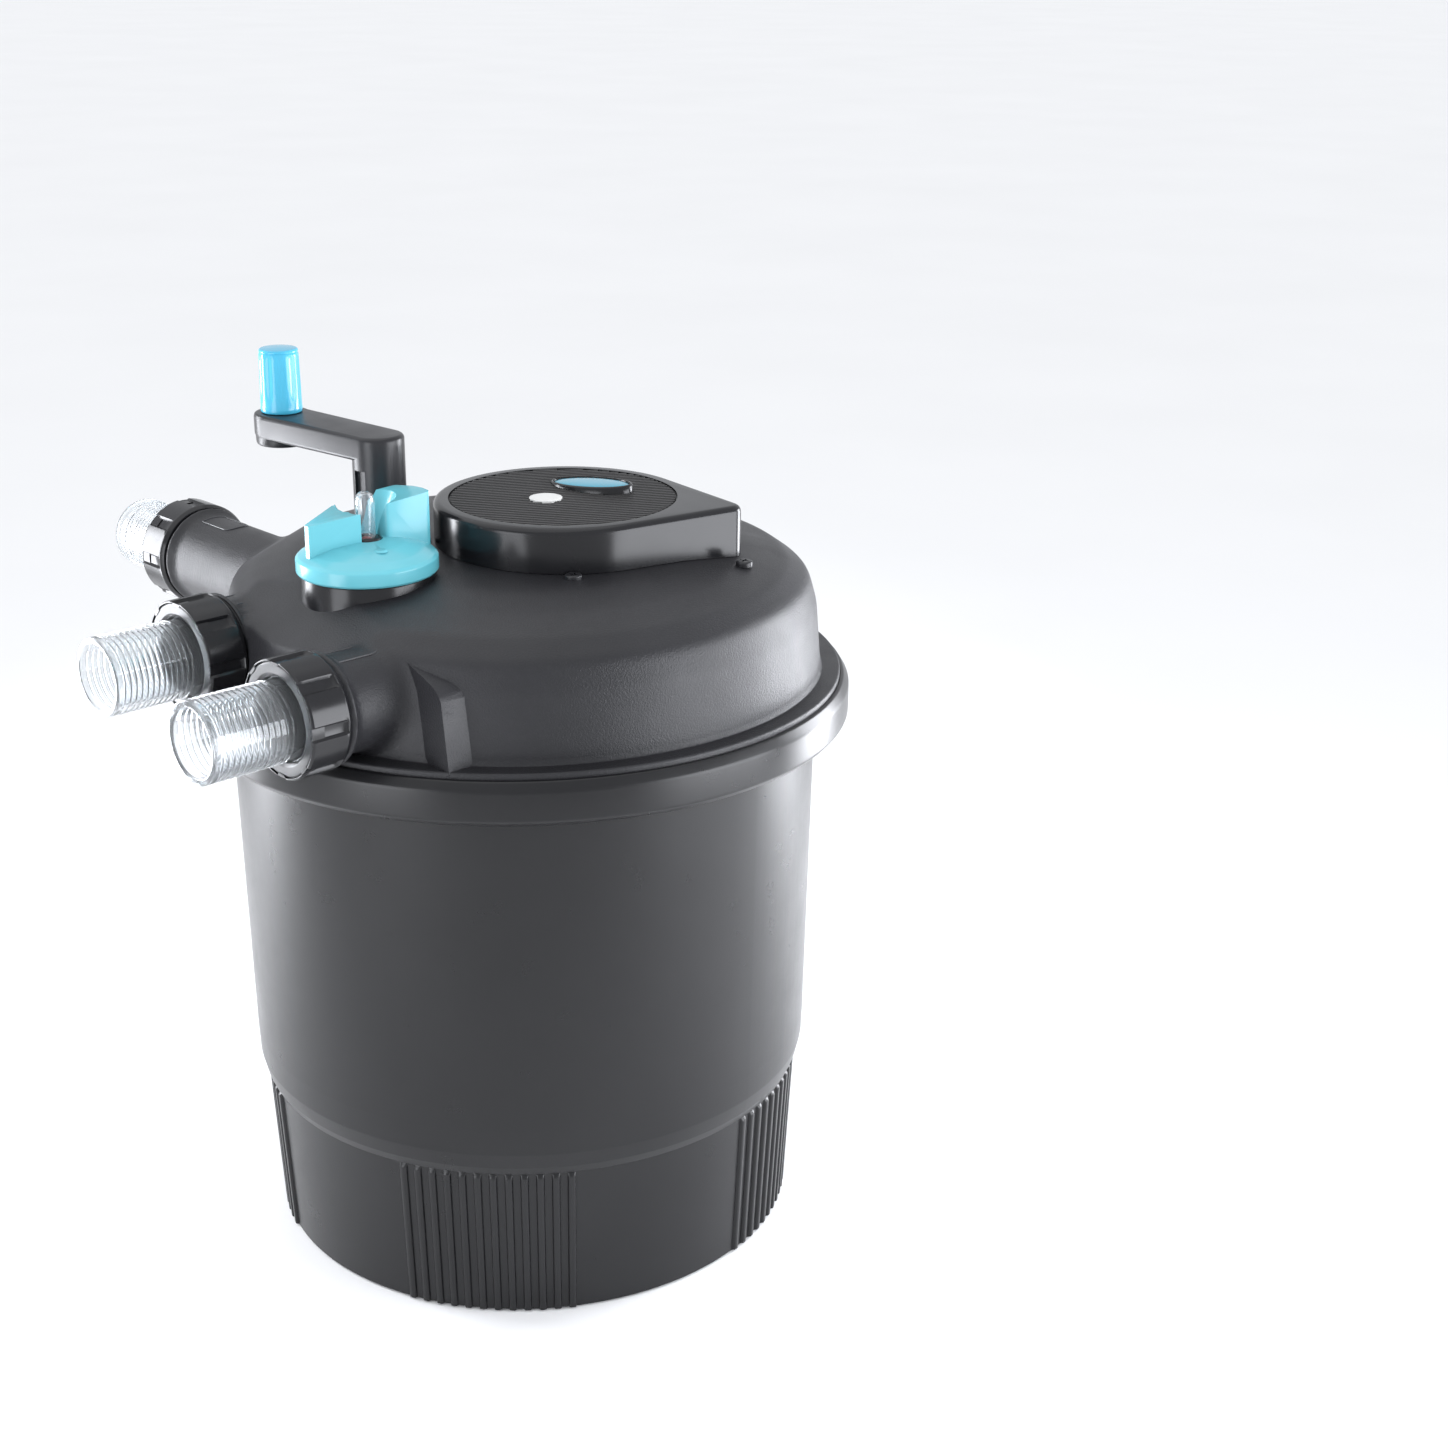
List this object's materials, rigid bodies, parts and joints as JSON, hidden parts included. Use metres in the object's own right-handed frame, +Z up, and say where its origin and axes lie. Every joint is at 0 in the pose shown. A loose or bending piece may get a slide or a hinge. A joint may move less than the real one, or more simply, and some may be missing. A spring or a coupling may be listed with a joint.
{
  "type": "pressurized pond filter",
  "caption": "Drum-shaped pressurised pond filter with a clamped head, flow dial, hand crank that turns the foam pack, UV lamp and threaded hose tails.",
  "frame": {"origin": "centre of the drum base, on the surface it stands on", "axes": "+Z up along the drum axis; hose ports 1 and 2 point along -X; hose port 3 points along +Y"},
  "size_m": [0.4705, 0.5175, 0.544],
  "materials": {
    "drum_plastic": "satin black injection-moulded polypropylene",
    "rubber": "black rubber",
    "black_matte": "fine spark-textured black plastic",
    "black_gloss": "glossy black plastic",
    "steel": "stainless steel",
    "black_satin": "satin black plastic",
    "badge_plastic": "glossy domed badge, blank",
    "white_plastic": "white moulded plastic",
    "quartz": "clear quartz tube",
    "dial_plastic": "glossy moulded plastic",
    "clear_plastic": "clear moulded plastic",
    "red_plastic": "red plastic",
    "grip_plastic": "glossy moulded plastic",
    "foam_blue": "open-cell filter foam",
    "foam_red": "open-cell filter foam"
  },
  "bodies": {
    "drum": {"drum_body": "drum_plastic", "main_seal": "rubber", "bearing_ring": "black_matte", "clasp_band": "black_gloss", "clasp_pin": "steel"},
    "clasp_lever": {"clasp_lever": "black_gloss"},
    "clasp_link": {"clasp_link": "steel"},
    "head": {"head_shell": "black_matte", "lamp_cover": "black_gloss", "badge_bezel": "black_satin", "badge_plate": "badge_plastic", "indicator_lens": "white_plastic", "cable_gland": "black_matte", "cover_screw_1": "steel", "cover_screw_2": "steel", "cover_screw_3": "steel", "quartz_sleeve": "quartz", "sleeve_seal": "rubber", "sleeve_nut": "black_satin", "uv_lamp": "white_plastic", "lamp_holder": "white_plastic", "ballast": "steel", "diverter_chamber": "black_matte", "crank_bush": "white_plastic", "port_seal_1": "rubber", "port_seal_2": "rubber", "port_seal_3": "rubber"},
    "dial": {"control_dial": "dial_plastic", "diverter_rotor": "white_plastic", "rod_bearing": "black_gloss", "sight_dome": "clear_plastic"},
    "display_rod": {"display_rod": "red_plastic"},
    "crank": {"crank_arm": "black_satin", "crank_shaft": "steel", "drive_pinion": "white_plastic", "grip_pin": "steel"},
    "crank_grip": {"crank_grip": "grip_plastic"},
    "foam_pack": {"pack_bottom_plate": "black_matte", "pack_top_plate": "black_matte", "centre_tube": "black_matte", "tie_rod_1": "steel", "tie_rod_2": "steel", "tie_rod_3": "steel", "foam_ring_1": "foam_blue", "foam_ring_2": "foam_red", "foam_ring_3": "foam_blue", "foam_ring_4": "foam_red", "foam_ring_5": "foam_blue"},
    "hosetail_1": {"hosetail_1": "clear_plastic"},
    "union_nut_1": {"union_nut_1": "black_gloss", "retainer_ring_1": "black_satin"},
    "hosetail_2": {"hosetail_2": "clear_plastic"},
    "union_nut_2": {"union_nut_2": "black_gloss", "retainer_ring_2": "black_satin"},
    "hosetail_3": {"hosetail_3": "clear_plastic"},
    "union_nut_3": {"union_nut_3": "black_gloss", "retainer_ring_3": "black_satin"}
  },
  "joints": [
    {"name": "head_lift", "type": "slide", "parent": "drum", "child": "head", "axis": [0, 0, 1], "range_m": [0, 0.42]},
    {"name": "clasp_lever_hinge", "type": "hinge", "parent": "drum", "child": "clasp_lever", "pos_m": [0.1049, 0.17841, 0.3445], "axis": [0, 0, 1], "range_deg": [-120, 0]},
    {"name": "clasp_link_hinge", "type": "hinge", "parent": "clasp_lever", "child": "clasp_link", "pos_m": [0.09799, 0.19271, 0.3445], "axis": [0, 0, 1], "range_deg": [0, 120]},
    {"name": "dial_turn", "type": "hinge", "parent": "head", "child": "dial", "pos_m": [-0.1132, 0, 0.445], "axis": [0, 0, 1], "range_deg": [0, 90]},
    {"name": "display_rod_slide", "type": "slide", "parent": "dial", "child": "display_rod", "axis": [0, 0, 1], "range_m": [0, 0.014]},
    {"name": "crank_turn", "type": "hinge", "parent": "head", "child": "crank", "pos_m": [-0.06778, 0.04961, 0.44], "axis": [0, 0, 1], "continuous": true},
    {"name": "crank_grip_spin", "type": "hinge", "parent": "crank", "child": "crank_grip", "pos_m": [-0.07673, 0.13766, 0.52], "axis": [0, 0, 1], "continuous": true},
    {"name": "foam_pack_turn", "type": "hinge", "parent": "drum", "child": "foam_pack", "pos_m": [0, 0, 0.17], "axis": [0, 0, 1], "continuous": true},
    {"name": "hosetail_1_slide", "type": "slide", "parent": "head", "child": "hosetail_1", "axis": [-1, 0, 0], "range_m": [0, 0.012]},
    {"name": "union_nut_1_turn", "type": "hinge", "parent": "hosetail_1", "child": "union_nut_1", "pos_m": [-0.205, -0.063, 0.391], "axis": [-1, 0, 0], "range_deg": [0, 1080]},
    {"name": "hosetail_2_slide", "type": "slide", "parent": "head", "child": "hosetail_2", "axis": [-1, 0, 0], "range_m": [0, 0.012]},
    {"name": "union_nut_2_turn", "type": "hinge", "parent": "hosetail_2", "child": "union_nut_2", "pos_m": [-0.189, 0.063, 0.391], "axis": [-1, 0, 0], "range_deg": [0, 1080]},
    {"name": "hosetail_3_slide", "type": "slide", "parent": "head", "child": "hosetail_3", "axis": [0, 1, 0], "range_m": [0, 0.012]},
    {"name": "union_nut_3_turn", "type": "hinge", "parent": "hosetail_3", "child": "union_nut_3", "pos_m": [-0.077, 0.252, 0.391], "axis": [0, 1, 0], "range_deg": [0, 1080]}
  ],
  "couplings": [
    {"joint": "clasp_link_hinge", "follows": "clasp_lever_hinge", "ratio": -1},
    {"joint": "crank_turn", "follows": "foam_pack_turn", "ratio": -3.6667},
    {"joint": "union_nut_1_turn", "follows": "hosetail_1_slide", "rad_per_m": 1570.8},
    {"joint": "union_nut_2_turn", "follows": "hosetail_2_slide", "rad_per_m": 1570.8},
    {"joint": "union_nut_3_turn", "follows": "hosetail_3_slide", "rad_per_m": 1570.8}
  ]
}
